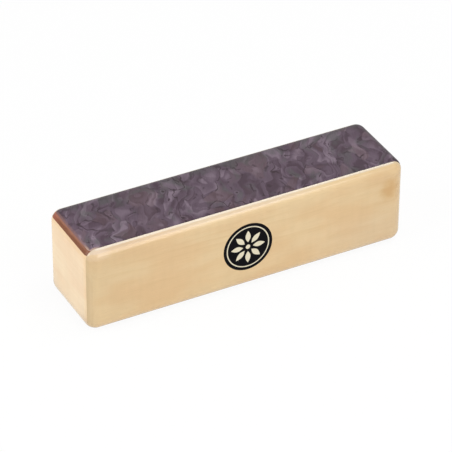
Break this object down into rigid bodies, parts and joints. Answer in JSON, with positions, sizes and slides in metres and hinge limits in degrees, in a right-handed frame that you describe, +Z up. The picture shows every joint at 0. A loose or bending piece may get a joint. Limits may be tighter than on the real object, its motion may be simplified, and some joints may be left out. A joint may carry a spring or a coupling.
{
  "type": "wooden shaker",
  "caption": "Long wooden hand shaker: glued box of pale boards with a dark burl top, rounded edges and loose steel shot sealed inside.",
  "frame": {"origin": "middle of the flat underside, under the middle of the case", "axes": "+X along the case towards the right end as seen from the front, -Y out of the front wall, +Z up through the burl top"},
  "size_m": [0.24, 0.062, 0.065],
  "materials": {
    "side_wood": "pale smooth-grained board, clear satin lacquer",
    "end_wood": "pale board, clear satin lacquer",
    "core_wood": "red-brown hardwood, lacquered edge",
    "burl_veneer": "dark mauve-grey burl figure under clear gloss lacquer",
    "shot_steel": "smooth bright steel ball"
  },
  "bodies": {
    "casing": {"front_wall": "side_wood", "back_wall": "side_wood", "left_end": "end_wood", "right_end": "end_wood", "bottom_board": "side_wood", "top_board": "core_wood", "top_veneer": "burl_veneer"},
    "shot_along": {"shot_01": "shot_steel", "shot_02": "shot_steel", "shot_03": "shot_steel", "shot_04": "shot_steel"},
    "shot_across": {"shot_45": "shot_steel", "shot_46": "shot_steel", "shot_47": "shot_steel", "shot_48": "shot_steel"},
    "shot_hop": {"shot_05": "shot_steel", "shot_06": "shot_steel", "shot_07": "shot_steel", "shot_08": "shot_steel", "shot_09": "shot_steel", "shot_10": "shot_steel", "shot_11": "shot_steel", "shot_12": "shot_steel", "shot_13": "shot_steel", "shot_14": "shot_steel", "shot_15": "shot_steel", "shot_16": "shot_steel", "shot_17": "shot_steel", "shot_18": "shot_steel", "shot_19": "shot_steel", "shot_20": "shot_steel", "shot_21": "shot_steel", "shot_22": "shot_steel", "shot_23": "shot_steel", "shot_24": "shot_steel", "shot_25": "shot_steel", "shot_26": "shot_steel", "shot_27": "shot_steel", "shot_28": "shot_steel", "shot_29": "shot_steel", "shot_30": "shot_steel", "shot_31": "shot_steel", "shot_32": "shot_steel", "shot_33": "shot_steel", "shot_34": "shot_steel", "shot_35": "shot_steel", "shot_36": "shot_steel", "shot_37": "shot_steel", "shot_38": "shot_steel", "shot_39": "shot_steel", "shot_40": "shot_steel", "shot_41": "shot_steel", "shot_42": "shot_steel", "shot_43": "shot_steel", "shot_44": "shot_steel"}
  },
  "joints": [
    {"name": "shot_slides_along", "type": "slide", "parent": "casing", "child": "shot_along", "axis": [1, 0, 0], "range_m": [-0.0745, 0.0745]},
    {"name": "shot_slides_across", "type": "slide", "parent": "shot_along", "child": "shot_across", "axis": [0, 1, 0], "range_m": [-0.0102, 0.0102]},
    {"name": "shot_hops", "type": "slide", "parent": "shot_across", "child": "shot_hop", "axis": [0, 0, 1], "range_m": [0, 0.05]}
  ]
}
